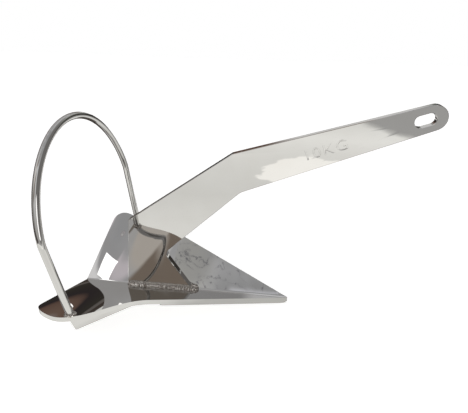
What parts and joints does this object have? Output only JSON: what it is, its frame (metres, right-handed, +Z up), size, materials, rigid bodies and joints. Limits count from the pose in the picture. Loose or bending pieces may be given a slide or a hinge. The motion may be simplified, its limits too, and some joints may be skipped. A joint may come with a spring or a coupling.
{
  "type": "scoop anchor",
  "caption": "Mirror-polished stainless scoop anchor: folded V fluke with swept wings, dog-leg shank with a shackle eye, and a round roll bar.",
  "frame": {"origin": "bottom centre of the whole anchor, on the floor under the ballast plate, at half its length", "axes": "+X from the rear edge of the fluke to its tip, +Y to the left, +Z up"},
  "size_m": [0.6018, 0.3598, 0.3769],
  "materials": {
    "polished_stainless": "mirror polished 316 stainless steel plate and bar",
    "weld_bead": "rippled TIG weld bead, electropolished"
  },
  "bodies": {
    "root": {"fluke": "polished_stainless", "tip_ballast": "polished_stainless", "shank": "polished_stainless", "roll_bar": "polished_stainless", "skid_left": "polished_stainless", "skid_right": "polished_stainless", "shank_weld_left": "weld_bead", "shank_weld_right": "weld_bead", "roll_bar_weld_left": "weld_bead", "roll_bar_weld_right": "weld_bead", "skid_weld_left": "weld_bead", "skid_weld_right": "weld_bead"}
  },
  "joints": []
}
